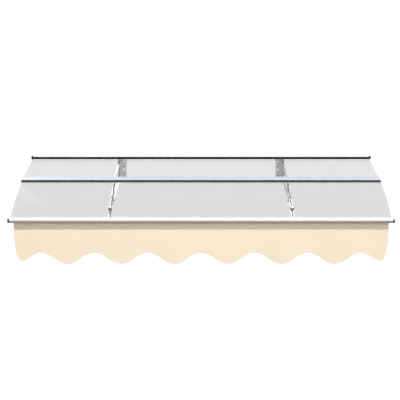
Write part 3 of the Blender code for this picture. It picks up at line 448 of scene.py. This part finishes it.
def make_satin_aluminium():
    material, tree, shader = principled("satin_aluminium")
    streaks = use_group(tree, drawn_lines, Lines_per_metre=1400.0)
    tone = two_tones(tree, streaks.outputs["Height"], (0.335, 0.355, 0.41), (0.39, 0.41, 0.465))
    tree.links.new(tone, shader.inputs["Base Color"])
    shader.inputs["Metallic"].default_value = 0.5
    tree.links.new(ranged(tree, streaks.outputs["Height"], 0.42, 0.55), shader.inputs["Roughness"])
    bump(tree, shader, streaks.outputs["Height"], 0.12, 0.0002)
    return material


satin_aluminium = make_satin_aluminium()
shelf_end = (0.0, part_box("joint_profile")[0].y + SHELF_END, 0.0)
eased_copy("joint_profile", "joint_extrusion", [satin_aluminium],
           cut=(shelf_end, (0.0, -1.0, 0.0)))
lip_end = (0.0, 0.0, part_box("joint_seal")[1].z - LIP_HEIGHT)
eased_copy("joint_seal", "joint_bar", [black_moulding], 0.0004, (lip_end, (0.0, 0.0, 1.0)))
eased_copy("joint_seal", "joint_bar_lip", [satin_aluminium], 0.0002,
           (lip_end, (0.0, 0.0, -1.0)), replaces=False)

# Brackets
# Each hangs from a folded and welded stainless plate. A bent round bar runs out under the panes, a
# straight strut props it from below, and bolts with nuts hold both between the plate's cheeks.


def make_brushed_steel():
    material, tree, shader = principled("brushed_steel")
    streaks = use_group(tree, drawn_lines, Lines_per_metre=2200.0)
    smears = use_group(tree, unevenness, Size=0.03)
    tone = two_tones(tree, streaks.outputs["Height"], (0.68, 0.68, 0.70), (0.79, 0.79, 0.81))
    tree.links.new(tone, shader.inputs["Base Color"])
    shader.inputs["Metallic"].default_value = 1.0
    shader.inputs["Anisotropic"].default_value = 0.5
    tree.links.new(ranged(tree, smears.outputs["Amount"], 0.28, 0.46), shader.inputs["Roughness"])
    bump(tree, shader, streaks.outputs["Height"], 0.2, 0.0002)
    return material


def make_polished_steel(name, first, second, roughness, metallic=1.0):
    material, tree, shader = principled(name)
    smears = use_group(tree, unevenness, Size=0.02)
    tree.links.new(two_tones(tree, smears.outputs["Amount"], first, second), shader.inputs["Base Color"])
    shader.inputs["Metallic"].default_value = metallic
    tree.links.new(ranged(tree, smears.outputs["Amount"], *roughness), shader.inputs["Roughness"])
    bump(tree, shader, smears.outputs["Amount"], 0.03, 0.0005)
    return material


brushed_steel = make_brushed_steel()
polished_steel = make_polished_steel("polished_steel", (0.76, 0.76, 0.79), (0.86, 0.86, 0.88), (0.16, 0.26))
grey_rubber = make_moulding("grey_rubber", (0.20, 0.20, 0.21), (0.28, 0.28, 0.29), (0.60, 0.80), 0.0004)
for side in ("left", "right"):
    eased_copy("wall_plate_" + side, "bracket_plate_" + side, [brushed_steel])
    for part in ("rest_pad", "joint_pad"):
        eased_copy(f"{part}_{side}", f"{part}_{side}_rubber", [grey_rubber], 0.0002)
    for part in ("upper_washer", "lower_washer"):
        eased_copy(f"{part}_{side}", f"{part}_{side}_rubber", [black_rubber], 0.0002)
    for part in ("arm", "arm_nut", "strut", "strut_eye", "strut_nut", "knee_clamp", "knee_nut",
                 "cone_standoff", "joint_post", "front_saddle"):
        eased_copy(f"{part}_{side}", f"{part}_{side}_steel", [polished_steel], 0.0002)
    for part in ("fixing_screw", "saddle_screw"):
        eased_copy(f"{part}_{side}", f"{part}_{side}_steel", [brushed_steel], 0.0002)

# Bolts and lock nuts of the brackets
# Stainless hex bolts with rolled threads. Each nut has a turned collar with a nylon ring that grips the
# thread. They hold the arm and the strut in the wall plate, and the strut's front end in the knee clamp.
BOLT_RADIUS = 0.003
THREAD_ROOT = 0.0026
THREAD_PITCH = 0.001
THREAD_LENGTH = 0.009
TIP_CHAMFER = 0.0006
HEAD_RADIUS = 0.0058
HEAD_HEIGHT = 0.004
HEAD_CORNER = 0.0011
WASHER_FACE = (0.0049, 0.0003)
COLLAR_RADIUS = 0.0044
COLLAR_HEIGHT = 0.0014
COLLAR_EDGE = 0.0004
NYLON_RADIUS = 0.0039
NYLON_PLAY = 0.0001
TURNED_STEPS = 24
COLLAR_STEPS = 32


def add_turned(shape, profile, placement, steps):
    """Adds a solid turned from (radius, height) points about the placement's Z axis."""
    older = set(shape.verts)
    points = [shape.verts.new((radius, 0.0, height)) for radius, height in profile]
    lines = [shape.edges.new(pair) for pair in zip(points, points[1:])]
    bmesh.ops.spin(shape, geom=points + lines, cent=(0.0, 0.0, 0.0), axis=(0.0, 0.0, 1.0),
                   angle=2 * math.pi, steps=steps, use_merge=True, use_duplicate=False)
    bmesh.ops.remove_doubles(shape, verts=[v for v in shape.verts if v not in older], dist=0.000001)
    turned = [v for v in shape.verts if v not in older]
    bmesh.ops.recalc_face_normals(shape, faces=list({face for v in turned for face in v.link_faces}))
    bmesh.ops.transform(shape, matrix=placement, verts=turned)


def thread_profile(start, end):
    """Crests and roots of a rolled thread between two heights."""
    count = round((end - start) / THREAD_PITCH)
    points = []
    for turn in range(count):
        points += [(BOLT_RADIUS, start + (turn + 0.3) * THREAD_PITCH),
                   (THREAD_ROOT, start + (turn + 0.8) * THREAD_PITCH)]
    return points


def make_bolt(node, placement, length):
    """Bolt with its head's outer face at the placement, and its shank along the placement's Z."""
    shape = bmesh.new()
    face_radius, face_height = WASHER_FACE
    hexagon = HEAD_HEIGHT - face_height
    made = bmesh.ops.create_cone(shape, cap_ends=True, segments=6, radius1=HEAD_RADIUS, radius2=HEAD_RADIUS,
                                 depth=hexagon, matrix=placement @ Matrix.Translation((0, 0, hexagon / 2)))
    outer = sorted(made["verts"], key=lambda v: (placement.inverted() @ v.co).z)[:6]
    bmesh.ops.bevel(shape, geom=outer, affect="VERTICES", offset=HEAD_CORNER, segments=2, profile=0.5,
                    material=-1)
    thread = length - THREAD_LENGTH
    profile = [(0.0, hexagon), (face_radius, hexagon), (face_radius, HEAD_HEIGHT)]
    profile += [(BOLT_RADIUS, HEAD_HEIGHT), (BOLT_RADIUS, thread)]
    profile += thread_profile(thread, length - TIP_CHAMFER)
    profile += [(BOLT_RADIUS - TIP_CHAMFER, length), (0.0, length)]
    add_turned(shape, profile, placement, TURNED_STEPS)
    finish_shape(shape, node + "_steel", [polished_steel], [node])


def make_lock_ring(node, placement):
    """Turned collar on a nut's outer face, and the nylon ring in it."""
    inner, edge = NYLON_RADIUS, COLLAR_RADIUS - COLLAR_EDGE
    collar = bmesh.new()
    profile = [(inner, 0.0), (COLLAR_RADIUS, 0.0), (COLLAR_RADIUS, COLLAR_HEIGHT - COLLAR_EDGE)]
    profile += [(edge, COLLAR_HEIGHT), (inner, COLLAR_HEIGHT), (inner, 0.0)]
    add_turned(collar, profile, placement, COLLAR_STEPS)
    finish_shape(collar, node + "_collar", [polished_steel])
    nylon = bmesh.new()
    bore = BOLT_RADIUS + NYLON_PLAY
    top = COLLAR_HEIGHT - COLLAR_EDGE
    profile = [(bore, 0.0), (inner, 0.0), (inner, top), (bore, top), (bore, 0.0)]
    add_turned(nylon, profile, placement, TURNED_STEPS)
    finish_shape(nylon, node + "_nylon", [pale_nylon])


pale_nylon = make_moulding("pale_nylon", (0.62, 0.63, 0.60), (0.72, 0.73, 0.70), (0.35, 0.50), 0.0003)
for side, away in (("left", -1), ("right", 1)):
    for joint in ("arm", "strut", "knee"):
        bolt = f"{joint}_bolt_{side}"
        bolt_low, bolt_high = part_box(bolt)
        middle = (bolt_low + bolt_high) / 2
        head_end = bolt_high.x if away > 0 else bolt_low.x
        inwards = Matrix.Rotation(-away * math.pi / 2, 4, "Y")
        make_bolt(bolt, Matrix.Translation((head_end, middle.y, middle.z)) @ inwards,
                  bolt_high.x - bolt_low.x)
        nut = f"{joint}_nut_{side}"
        nut_low, nut_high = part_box(nut)
        nut_face = nut_low.x if away > 0 else nut_high.x
        make_lock_ring(nut, Matrix.Translation((nut_face, middle.y, middle.z)) @ inwards)

# Clamp discs and weld beads
# A polished disc with a rounded edge clamps the lower pane over each cone. The cheeks are welded to
# their plate with a rippled bead down each outer side.
FIXING_TILT = math.radians(19.41)
DISC_RADIUS = 0.0107
DISC_THICKNESS = 0.004
DISC_ROUNDING = 0.0016
DISC_STEPS = 48
ROUNDING_STEPS = 5
DISC_BORE = 0.0033
SINK_RADIUS = 0.0063
SINK_DEPTH = 0.0028
BEAD_RADIUS = 0.0014
BEAD_RIPPLE = 0.0003
RIPPLE_LENGTH = 0.0022
RIPPLE_CREST, RIPPLE_DIP = 0.25, 0.9
BEAD_STEPS = 10
BEAD_END_GAP = 0.006
CHEEKS_HALF_WIDTH = 0.0075
PLATE_FACE = -0.004


def make_clamp_disc(side):
    """Disc with a rounded upper edge and a countersunk hole, square to the lower pane."""
    disc_low, disc_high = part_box("clamp_disc_" + side)
    middle = (disc_low + disc_high) / 2
    half = DISC_THICKNESS / 2
    profile = [(DISC_BORE, half - SINK_DEPTH), (SINK_RADIUS, half), (DISC_RADIUS - DISC_ROUNDING, half)]
    for step in range(1, ROUNDING_STEPS + 1):
        turn = math.pi / 2 * step / ROUNDING_STEPS
        profile.append((DISC_RADIUS - DISC_ROUNDING * (1 - math.sin(turn)),
                        half - DISC_ROUNDING * (1 - math.cos(turn))))
    profile += [(DISC_RADIUS, -half), (DISC_BORE, -half), (DISC_BORE, half - SINK_DEPTH)]
    shape = bmesh.new()
    add_turned(shape, profile, Matrix.Translation(middle) @ Matrix.Rotation(FIXING_TILT, 4, "X"), DISC_STEPS)
    finish_shape(shape, "clamp_disc_" + side + "_steel", [polished_steel],
                 ["clamp_disc_" + side])


def make_welds(side):
    """Two beads in the corners between the cheeks and the plate."""
    plate_low, plate_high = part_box("wall_plate_" + side)
    arm_low, arm_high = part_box("arm_" + side)
    middle = (arm_low.x + arm_high.x) / 2
    length = plate_high.z - plate_low.z - 2 * BEAD_END_GAP
    ripples = round(length / RIPPLE_LENGTH)
    profile = [(0.0, 0.0)]
    for ripple in range(ripples):
        profile += [(BEAD_RADIUS, (ripple + RIPPLE_CREST) * RIPPLE_LENGTH),
                    (BEAD_RADIUS - BEAD_RIPPLE, (ripple + RIPPLE_DIP) * RIPPLE_LENGTH)]
    profile.append((0.0, ripples * RIPPLE_LENGTH))
    shape = bmesh.new()
    for offset in (-CHEEKS_HALF_WIDTH, CHEEKS_HALF_WIDTH):
        place = Matrix.Translation((middle + offset, PLATE_FACE, plate_low.z + BEAD_END_GAP))
        add_turned(shape, profile, place, BEAD_STEPS)
    finish_shape(shape, "weld_beads_" + side, [brushed_steel])


for side in ("left", "right"):
    make_clamp_disc(side)
    make_welds(side)

# Front tube
# A polished stainless tube, slotted behind for the lower pane's edge and below for the valance. A pale
# soft seal is folded round the pane's edge, and a dark moulded plug closes each end.


def make_pale_seal():
    material, tree, shader = principled("pale_seal")
    streaks = use_group(tree, drawn_lines, Lines_per_metre=900.0)
    tone = two_tones(tree, streaks.outputs["Height"], (0.86, 0.84, 0.87), (0.91, 0.89, 0.92))
    tree.links.new(tone, shader.inputs["Base Color"])
    shader.inputs["Transmission Weight"].default_value = 0.7
    tree.links.new(ranged(tree, streaks.outputs["Height"], 0.28, 0.42), shader.inputs["Roughness"])
    bump(tree, shader, streaks.outputs["Height"], 0.1, 0.0002)
    return material


pale_seal = make_pale_seal()
grey_moulding = make_moulding("grey_moulding", (0.035, 0.035, 0.040), (0.055, 0.055, 0.062),
                              (0.22, 0.36), 0.0005)
# The tube's steel is a darker, faintly pink copy of the polished steel with less metal in it: painted shade,
# which keeps the high lamp from glaring white on its top.
painted_shade_tube_steel = make_polished_steel("painted_shade_tube_steel", (0.55, 0.535, 0.55), (0.61, 0.595, 0.61), (0.18, 0.26), 0.6)
eased_copy("front_tube", "front_tube_steel", [painted_shade_tube_steel], 0.0002)
eased_copy("front_pane_seal", "front_seal", [pale_seal], 0.0003)
for side in ("left", "right"):
    eased_copy("front_cap_" + side, "tube_end_" + side, [grey_moulding], 0.0003)

# Valance
# One width of cream woven awning cloth, cut along a row of scallops and hemmed, with its top edge sewn
# round a welt that slides into the channel under the front tube.
SCALLOPS = 7
SCALLOP_DEPTH = 0.059
END_LOBE_WIDTH = 0.100
END_LOBE_DEPTH = 0.0425
END_CORNER_HEIGHT = 0.180
END_CORNER_FULLNESS = 0.87
CLOTH_THICKNESS = 0.0007
HEM_WIDTH = 0.011
HEM_CREASE = 0.0006
SWAY = 0.0012
SWAY_WAVES = ((0.6, 0.31, 0.7), (0.4, 0.19, 2.1))
COLUMN_PITCH = 0.004
CORNER_COLUMNS = 18
CLOTH_ROWS = 34
THREADS_PER_METRE = 1500.0

valance_low, valance_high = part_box("valance")
valance_half = (valance_high.x - valance_low.x) / 2
valance_plane = (valance_low.y + valance_high.y) / 2
scallop_pitch = 2 * valance_half / SCALLOPS
arch_height = valance_low.z + SCALLOP_DEPTH
last_arch = scallop_pitch * (SCALLOPS // 2)
lobe_end = last_arch + END_LOBE_WIDTH


def edge_at(share):
    """Distance from the middle and height of the cut edge. From 0 to 1 it runs out to the end lobe,
    and from 1 to 2 round its corner and up to the side edge."""
    if share <= 1.0:
        x = lobe_end * share
        if x <= last_arch:
            fall = SCALLOP_DEPTH * (1.0 - math.cos(2 * math.pi * x / scallop_pitch)) / 2
        else:
            fall = END_LOBE_DEPTH * (1.0 - math.cos(math.pi * (x - last_arch) / END_LOBE_WIDTH)) / 2
        return x, arch_height - fall
    turn = math.pi / 2 * (share - 1.0)
    x = lobe_end + (valance_half - lobe_end) * math.sin(turn) ** END_CORNER_FULLNESS
    rise = END_CORNER_HEIGHT * (1.0 - math.cos(turn) ** END_CORNER_FULLNESS)
    return x, arch_height - END_LOBE_DEPTH + rise


def sway_at(x, height):
    """How far the hanging cloth swings out of its plane: more towards the lower edge."""
    depth = (valance_high.z - height) / (valance_high.z - valance_low.z)
    wave = sum(share * math.sin(2 * math.pi * x / length + shift) for share, length, shift in SWAY_WAVES)
    return SWAY * depth ** 1.5 * wave


def make_cloth():
    """The cloth as a grid whose columns end at the cut edge, with its flat shape as its UV map."""
    steps = round(lobe_end / COLUMN_PITCH)
    columns = 2 * (steps + CORNER_COLUMNS)
    hem_rows = [0.0, HEM_CREASE, HEM_WIDTH - HEM_CREASE, HEM_WIDTH]
    rows = len(hem_rows) + CLOTH_ROWS
    shape = bmesh.new()
    bmesh.ops.create_grid(shape, x_segments=columns, y_segments=rows, size=0.5)
    flat = shape.loops.layers.uv.new("flat")
    places = {}
    for vertex in shape.verts:
        column = round((vertex.co.x + 0.5) * columns) - columns // 2
        row = round((vertex.co.y + 0.5) * rows)
        side = math.copysign(1.0, column)
        share = abs(column) / steps if abs(column) <= steps else 1.0 + (abs(column) - steps) / CORNER_COLUMNS
        x, cut_height = edge_at(share)
        if row < len(hem_rows):
            height = cut_height + hem_rows[row]
        else:
            start = cut_height + HEM_WIDTH
            height = start + (valance_high.z - start) * (row - len(hem_rows) + 1) / (CLOTH_ROWS + 1)
        places[vertex] = (side * x, height)
    for face in shape.faces:
        for loop in face.loops:
            loop[flat].uv = places[loop.vert]
    for vertex, (x, height) in places.items():
        vertex.co = (x, valance_plane + sway_at(x, height), height)
    bmesh.ops.recalc_face_normals(shape, faces=shape.faces)
    cloth = finish_shape(shape, "valance_cloth", [cream_cloth], ["valance"])
    thickness = cloth.modifiers.new("thickness", "SOLIDIFY")
    thickness.thickness = CLOTH_THICKNESS
    thickness.offset = 0.0
    return cloth


def make_weave_group():
    """Plain weave from flat cloth coordinates: the threads' height, and which thread is on top."""
    group, given, out = new_group("plain_weave", [("Threads per metre", THREADS_PER_METRE)],
                                  ["Height", "Warp on top"])
    place = add_node(group, "ShaderNodeTexCoord")
    scaled = add_node(group, "ShaderNodeVectorMath", {0: place.outputs["UV"]}, operation="SCALE")
    group.links.new(given.outputs["Threads per metre"], scaled.inputs["Scale"])
    split = add_node(group, "ShaderNodeSeparateXYZ", {0: scaled.outputs[0]})

    def calculate(operation, first, second=0.0):
        return add_node(group, "ShaderNodeMath", {0: first, 1: second}, operation=operation).outputs[0]

    def crown(position):
        """1 along the middle of each thread and 0 between threads."""
        from_middle = calculate("SUBTRACT", calculate("FRACT", position), 0.5)
        return calculate("COSINE", calculate("MULTIPLY", from_middle, math.pi))

    warp = crown(split.outputs["X"])
    weft = crown(split.outputs["Y"])
    cells = calculate("ADD", calculate("FLOOR", split.outputs["X"]), calculate("FLOOR", split.outputs["Y"]))
    on_top = calculate("MULTIPLY", calculate("FRACT", calculate("MULTIPLY", cells, 0.5)), 2.0)
    warp_up = calculate("MULTIPLY", warp, calculate("MULTIPLY_ADD", weft, 0.5))
    weft_up = calculate("MULTIPLY", weft, calculate("MULTIPLY_ADD", warp, 0.5))
    chosen = add_node(group, "ShaderNodeMix", {"Factor": on_top}, data_type="FLOAT")
    group.links.new(warp_up, chosen.inputs["A"])
    group.links.new(weft_up, chosen.inputs["B"])
    group.links.new(chosen.outputs["Result"], out.inputs["Height"])
    group.links.new(on_top, out.inputs["Warp on top"])
    return group


def make_cream_cloth():
    material, tree, shader = principled("cream_cloth")
    weave = use_group(tree, make_weave_group(), Threads_per_metre=THREADS_PER_METRE)
    clouds = use_group(tree, unevenness, Size=0.25)
    tone = two_tones(tree, weave.outputs["Warp on top"], (0.93, 0.79, 0.60), (0.985, 0.855, 0.665))
    shaded = add_node(tree, "ShaderNodeMix", {"Factor": clouds.outputs["Amount"]}, data_type="RGBA",
                      blend_type="MULTIPLY")
    tree.links.new(tone, shaded.inputs["A"])
    shaded.inputs["B"].default_value = (0.97, 0.965, 0.955, 1.0)
    tree.links.new(shaded.outputs["Result"], shader.inputs["Base Color"])
    shader.inputs["Roughness"].default_value = 0.85
    shader.inputs["Sheen Weight"].default_value = 0.15
    shader.inputs["Sheen Roughness"].default_value = 0.5
    bump(tree, shader, weave.outputs["Height"], 0.3, 0.0002)
    return material


cream_cloth = make_cream_cloth()
cloth = make_cloth()
eased_copy("valance_welt", "welt_cord", [cream_cloth], 0.0)

# Hem and seams of the valance
# The cut edge is folded to the back and sewn down with a lock stitch. A second seam under the tube
# closes the cloth round the welt.
FOLD_INSET = 0.0004
FOLD_THICKNESS = 0.8 * CLOTH_THICKNESS
FOLD_DEPTH = 0.9 * CLOTH_THICKNESS
HEM_SEAM_INSET = 0.009
STITCH_PITCH = 0.0038
STITCH_LENGTH = 0.0030
STITCH_RADIUS = 0.00028
STITCH_DEPTHS = (-0.5 * CLOTH_THICKNESS, 1.3 * CLOTH_THICKNESS)
STITCHES_AT_ONCE = 100
TOP_SEAM_DROP = 0.0085
EDGE_STEPS = 700


def cut_edge():
    """Points along the cloth's cut edge as (x, height), from its left top round to its right top."""
    half = [edge_at(2.0 * step / EDGE_STEPS) for step in range(EDGE_STEPS + 1)]
    half.append((valance_half, valance_high.z))
    return [(-x, height) for x, height in half[:0:-1]] + half


def inset_edge(inset):
    """The cut edge moved into the cloth."""
    edge = cut_edge()
    moved = []
    for before, point, after in zip([edge[0]] + edge, edge, edge[1:] + [edge[-1]]):
        along = Vector((after[0] - before[0], after[1] - before[1])).normalized()
        moved.append((point[0] - along.y * inset, point[1] + along.x * inset))
    return moved


def make_hem_fold():
    """Folded strip behind the cut edge."""
    outer, inner = inset_edge(FOLD_INSET), inset_edge(HEM_WIDTH)
    shape = bmesh.new()
    bmesh.ops.create_grid(shape, x_segments=len(outer) - 1, y_segments=1, size=0.5)
    flat = shape.loops.layers.uv.new("flat")
    places = {}
    for vertex in shape.verts:
        column = round((vertex.co.x + 0.5) * (len(outer) - 1))
        places[vertex] = outer[column] if vertex.co.y < 0 else inner[column]
    for face in shape.faces:
        for loop in face.loops:
            loop[flat].uv = places[loop.vert]
    for vertex, (x, height) in places.items():
        vertex.co = (x, valance_plane + sway_at(x, height) + FOLD_DEPTH, height)
    bmesh.ops.recalc_face_normals(shape, faces=shape.faces)
    fold = finish_shape(shape, "valance_hem", [cream_cloth])
    thickness = fold.modifiers.new("thickness", "SOLIDIFY")
    thickness.thickness = FOLD_THICKNESS
    thickness.offset = 0.0
    return fold


def stitch_places(line):
    """Where the stitches of a seam lie, on both faces of the cloth."""
    places = []
    walked, due = 0.0, STITCH_PITCH / 2
    for start, end in zip(line, line[1:]):
        along = Vector((end[0] - start[0], 0.0, end[1] - start[1]))
        step = along.length
        while walked + step >= due:
            middle = Vector((start[0], 0.0, start[1])) + along * ((due - walked) / step)
            middle.y = valance_plane + sway_at(middle.x, middle.z)
            turn = Matrix.Rotation(-math.atan2(along.z, along.x), 4, "Y")
            for depth in STITCH_DEPTHS:
                places.append(Matrix.Translation(middle + Vector((0.0, depth, 0.0))) @ turn)
            due += STITCH_PITCH
        walked += step
    return places


def make_stitches(places):
    """One small bead of thread at each place. They are copied in batches, which is quick."""
    single = bmesh.new()
    bmesh.ops.create_uvsphere(single, u_segments=5, v_segments=4, radius=1.0, matrix=Matrix.Diagonal(
        (STITCH_RADIUS, STITCH_RADIUS, STITCH_LENGTH / 2, 1.0)))
    bmesh.ops.rotate(single, verts=single.verts, matrix=Matrix.Rotation(math.pi / 2, 3, "Y"))
    bead = bpy.data.meshes.new("stitch")
    single.to_mesh(bead)
    single.free()
    shape = bmesh.new()
    batch_mesh = bpy.data.meshes.new("stitch_batch")
    for first in range(0, len(places), STITCHES_AT_ONCE):
        batch = bmesh.new()
        for place in places[first:first + STITCHES_AT_ONCE]:
            older = len(batch.verts)
            batch.from_mesh(bead)
            batch.verts.ensure_lookup_table()
            bmesh.ops.transform(batch, matrix=place, verts=batch.verts[older:])
        batch.to_mesh(batch_mesh)
        batch.free()
        shape.from_mesh(batch_mesh)
    bpy.data.meshes.remove(batch_mesh)
    bpy.data.meshes.remove(bead)
    return finish_shape(shape, "valance_stitches", [sewing_thread])


def make_thread_material():
    material, tree, shader = principled("sewing_thread")
    twist = use_group(tree, drawn_lines, Lines_per_metre=3000.0)
    tone = two_tones(tree, twist.outputs["Height"], (0.86, 0.74, 0.57), (0.97, 0.86, 0.70))
    tree.links.new(tone, shader.inputs["Base Color"])
    shader.inputs["Roughness"].default_value = 0.6
    bump(tree, shader, twist.outputs["Height"], 0.2, 0.0001)
    return material


sewing_thread = make_thread_material()
hem_fold = make_hem_fold()
top_seam_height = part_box("front_tube")[0].z - TOP_SEAM_DROP
top_seam_half = valance_half - HEM_WIDTH
top_seam = [(-top_seam_half, top_seam_height), (top_seam_half, top_seam_height)]
stitches = make_stitches(stitch_places(inset_edge(HEM_SEAM_INSET)) + stitch_places(top_seam))
